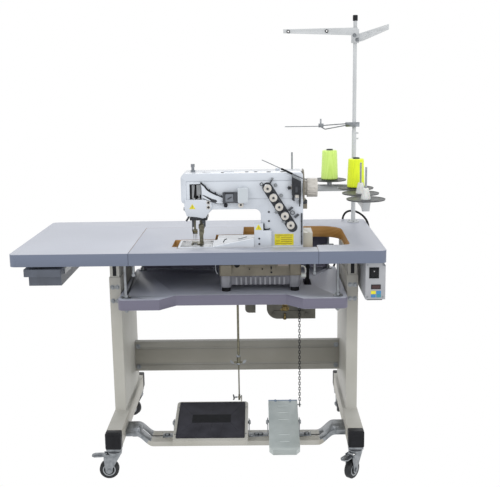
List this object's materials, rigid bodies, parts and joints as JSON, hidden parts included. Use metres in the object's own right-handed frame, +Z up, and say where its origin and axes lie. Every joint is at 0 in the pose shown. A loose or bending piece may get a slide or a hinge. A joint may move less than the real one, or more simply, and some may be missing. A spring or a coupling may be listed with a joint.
{
  "type": "industrial cover-stitch sewing machine with table",
  "caption": "Flat-bed cover-stitch machine sunk into a castered table, with thread stand, treadle, presser-lift pedal, drive unit and control box.",
  "frame": {"origin": "on the floor under the middle of the whole object", "axes": "+X along the table to the handwheel end, +Y from the sewer's side to the back, +Z up"},
  "size_m": [1.2101, 0.686, 1.51],
  "materials": {
    "laminate": "grey laminate on a wood core, satin",
    "painted_steel": "warm white powder coat",
    "machine_enamel": "gloss white enamel on cast aluminium",
    "base_enamel": "cream enamel",
    "cast_grey": "silver-grey painted casting",
    "bright_steel": "zinc plated and ground steel",
    "black_steel": "blackened steel",
    "black_plastic": "moulded black plastic",
    "motor_paint": "olive-grey hammer paint",
    "rubber": "black rubber",
    "tread": "dark caster tread",
    "ivory_plastic": "ivory plastic",
    "box_enamel": "white enamel, satin",
    "drawer_plastic": "blue-grey moulded plastic",
    "disc_plastic": "dark grey plastic",
    "pedal_paint": "grey-green hammer paint",
    "thread_green": "wound polyester thread, light green",
    "thread_yellow": "wound polyester thread, yellow green"
  },
  "bodies": {
    "root": {"table_top": "laminate", "table_insert": "laminate", "sunk_shelf": "laminate", "shelf_hardware": "bright_steel", "stand_sides": "painted_steel", "foot_caps": "black_plastic", "stand_crossbar": "painted_steel", "pedal_bar": "painted_steel", "caster_plates": "bright_steel", "speed_control": "motor_paint", "motor": "motor_paint", "control_box": "box_enamel", "drawer_rails": "bright_steel", "machine_base": "base_enamel", "oil_pan": "cast_grey", "machine_feet": "rubber", "machine_bed": "machine_enamel", "arm_casting": "machine_enamel", "arm_covers": "machine_enamel", "needle_plate": "bright_steel", "thread_guides": "black_steel", "thread_pole": "painted_steel", "spool_rack": "painted_steel", "spool_discs": "disc_plastic", "guide_arms": "painted_steel", "motor_cable": "rubber", "drive_belt": "rubber"},
    "treadle": {"treadle_frame": "painted_steel", "treadle_mat": "rubber"},
    "pitman": {"pitman_rod": "bright_steel"},
    "speed_lever": {"speed_lever": "black_steel"},
    "lift_pedal": {"lift_pedal": "pedal_paint"},
    "lift_chain": {"lift_chain": "black_steel"},
    "lift_lever": {"lift_lever": "black_steel"},
    "handwheel": {"handwheel": "ivory_plastic"},
    "lower_shaft": {"lower_pulley": "bright_steel"},
    "motor_shaft": {"motor_pulley": "bright_steel"},
    "power_switch": {"power_switch": "black_plastic"},
    "drawer": {"drawer": "drawer_plastic"},
    "needle_bar": {"needle_bar": "bright_steel"},
    "presser_bar": {"presser_bar": "bright_steel"},
    "pressure_screw": {"pressure_screw": "bright_steel"},
    "looper_cover": {"looper_cover": "machine_enamel"},
    "cone_left": {"cone_left": "thread_green"},
    "cone_right": {"cone_right": "thread_yellow"},
    "fork_1": {"caster_fork_1": "bright_steel"},
    "wheel_1": {"caster_wheel_1": "tread"},
    "fork_2": {"caster_fork_2": "bright_steel"},
    "wheel_2": {"caster_wheel_2": "tread"},
    "fork_3": {"caster_fork_3": "bright_steel"},
    "wheel_3": {"caster_wheel_3": "tread"},
    "fork_4": {"caster_fork_4": "bright_steel"},
    "wheel_4": {"caster_wheel_4": "tread"},
    "brake_1": {"brake_lever_1": "bright_steel"},
    "brake_2": {"brake_lever_2": "bright_steel"},
    "tension_1": {"tension_knob_1": "ivory_plastic"},
    "tension_2": {"tension_knob_2": "ivory_plastic"},
    "tension_3": {"tension_knob_3": "ivory_plastic"},
    "tension_4": {"tension_knob_4": "ivory_plastic"},
    "tension_5": {"tension_knob_5": "ivory_plastic"}
  },
  "joints": [
    {"name": "caster_swivel_1", "type": "hinge", "parent": "root", "child": "fork_1", "pos_m": [-0.288, -0.27395, 0.098], "axis": [0, 0, 1], "continuous": true},
    {"name": "caster_roll_1", "type": "hinge", "parent": "fork_1", "child": "wheel_1", "pos_m": [-0.30795, -0.27535, 0.032], "axis": [0.0698, -0.9976, 0], "continuous": true},
    {"name": "brake_pedal_1", "type": "hinge", "parent": "fork_1", "child": "brake_1", "pos_m": [-0.31793, -0.27604, 0.078], "axis": [0.0698, -0.9976, 0], "range_deg": [0, 15]},
    {"name": "caster_swivel_2", "type": "hinge", "parent": "root", "child": "fork_2", "pos_m": [0.505, -0.27395, 0.098], "axis": [0, 0, 1], "continuous": true},
    {"name": "caster_roll_2", "type": "hinge", "parent": "fork_2", "child": "wheel_2", "pos_m": [0.49241, -0.2895, 0.032], "axis": [0.7771, -0.6293, 0], "continuous": true},
    {"name": "brake_pedal_2", "type": "hinge", "parent": "fork_2", "child": "brake_2", "pos_m": [0.48612, -0.29727, 0.078], "axis": [0.7771, -0.6293, 0], "range_deg": [0, 15]},
    {"name": "caster_swivel_3", "type": "hinge", "parent": "root", "child": "fork_3", "pos_m": [-0.288, 0.24105, 0.098], "axis": [0, 0, 1], "continuous": true},
    {"name": "caster_roll_3", "type": "hinge", "parent": "fork_3", "child": "wheel_3", "pos_m": [-0.30679, 0.24789, 0.032], "axis": [-0.342, -0.9397, 0], "continuous": true},
    {"name": "caster_swivel_4", "type": "hinge", "parent": "root", "child": "fork_4", "pos_m": [0.505, 0.24105, 0.098], "axis": [0, 0, 1], "continuous": true},
    {"name": "caster_roll_4", "type": "hinge", "parent": "fork_4", "child": "wheel_4", "pos_m": [0.5057, 0.26104, 0.032], "axis": [-0.9994, 0.0349, 0], "continuous": true},
    {"name": "treadle_tilt", "type": "hinge", "parent": "root", "child": "treadle", "pos_m": [0.026, -0.15395, 0.138], "axis": [1, 0, 0], "range_deg": [-12, 6], "stiffness_Nm_per_rad": 6},
    {"name": "pitman_lift", "type": "slide", "parent": "root", "child": "pitman", "axis": [0, 0, 1], "range_m": [-0.0263, 0.01315]},
    {"name": "speed_lever_turn", "type": "hinge", "parent": "root", "child": "speed_lever", "pos_m": [0.125, 0.03105, 0.53], "axis": [1, 0, 0], "range_deg": [-12.6, 25.2]},
    {"name": "lift_pedal_tilt", "type": "hinge", "parent": "root", "child": "lift_pedal", "pos_m": [0.272, -0.15395, 0.14], "axis": [1, 0, 0], "range_deg": [-14, 0], "stiffness_Nm_per_rad": 6, "springref_deg": 2.86},
    {"name": "chain_pull", "type": "slide", "parent": "root", "child": "lift_chain", "axis": [0, 0, 1], "range_m": [-0.021, 0]},
    {"name": "lift_lever_turn", "type": "hinge", "parent": "root", "child": "lift_lever", "pos_m": [0.332, -0.12895, 0.543], "axis": [1, 0, 0], "range_deg": [-20, 0]},
    {"name": "presser_lift", "type": "slide", "parent": "root", "child": "presser_bar", "axis": [0, 0, 1], "range_m": [0, 0.0061]},
    {"name": "needle_stroke", "type": "slide", "parent": "root", "child": "needle_bar", "axis": [0, 0, 1], "range_m": [-0.02, 0.008]},
    {"name": "handwheel_turn", "type": "hinge", "parent": "root", "child": "handwheel", "pos_m": [0.372, -0.10895, 0.939], "axis": [1, 0, 0], "continuous": true},
    {"name": "lower_shaft_turn", "type": "hinge", "parent": "root", "child": "lower_shaft", "pos_m": [0.363, 0.01105, 0.671], "axis": [1, 0, 0], "continuous": true},
    {"name": "motor_shaft_turn", "type": "hinge", "parent": "root", "child": "motor_shaft", "pos_m": [0.363, 0.01105, 0.514], "axis": [1, 0, 0], "continuous": true},
    {"name": "switch_rock", "type": "hinge", "parent": "root", "child": "power_switch", "pos_m": [0.563, -0.22495, 0.678], "axis": [1, 0, 0], "range_deg": [0, 8]},
    {"name": "drawer_slide", "type": "slide", "parent": "root", "child": "drawer", "axis": [0, -1, 0], "range_m": [0, 0.25]},
    {"name": "pressure_screw_turn", "type": "hinge", "parent": "root", "child": "pressure_screw", "pos_m": [-0.018, -0.10895, 1], "axis": [0, 0, 1], "continuous": true},
    {"name": "looper_cover_swing", "type": "hinge", "parent": "root", "child": "looper_cover", "pos_m": [0.235, -0.17495, 0.79], "axis": [0, 0, 1], "range_deg": [0, 100]},
    {"name": "cone_left_lift", "type": "slide", "parent": "root", "child": "cone_left", "axis": [0, 0, 1], "range_m": [0, 0.066]},
    {"name": "cone_right_lift", "type": "slide", "parent": "root", "child": "cone_right", "axis": [0, 0, 1], "range_m": [0, 0.115]},
    {"name": "tension_turn_1", "type": "hinge", "parent": "root", "child": "tension_1", "pos_m": [0.2254, -0.19095, 0.9476], "axis": [0, 1, 0], "continuous": true},
    {"name": "tension_turn_2", "type": "hinge", "parent": "root", "child": "tension_2", "pos_m": [0.2437, -0.19095, 0.9177], "axis": [0, 1, 0], "continuous": true},
    {"name": "tension_turn_3", "type": "hinge", "parent": "root", "child": "tension_3", "pos_m": [0.262, -0.19095, 0.8878], "axis": [0, 1, 0], "continuous": true},
    {"name": "tension_turn_4", "type": "hinge", "parent": "root", "child": "tension_4", "pos_m": [0.2803, -0.19095, 0.8579], "axis": [0, 1, 0], "continuous": true},
    {"name": "tension_turn_5", "type": "hinge", "parent": "root", "child": "tension_5", "pos_m": [0.2986, -0.19095, 0.828], "axis": [0, 1, 0], "continuous": true}
  ],
  "couplings": [
    {"joint": "pitman_lift", "follows": "treadle_tilt", "m_per_rad": 0.125},
    {"joint": "speed_lever_turn", "follows": "treadle_tilt", "ratio": -2.0833},
    {"joint": "chain_pull", "follows": "lift_pedal_tilt", "m_per_rad": 0.085},
    {"joint": "lift_lever_turn", "follows": "lift_pedal_tilt", "ratio": 1.4167},
    {"joint": "presser_lift", "follows": "lift_pedal_tilt", "m_per_rad": -0.02455},
    {"joint": "lower_shaft_turn", "follows": "handwheel_turn", "ratio": 1},
    {"joint": "motor_shaft_turn", "follows": "handwheel_turn", "ratio": 1}
  ]
}
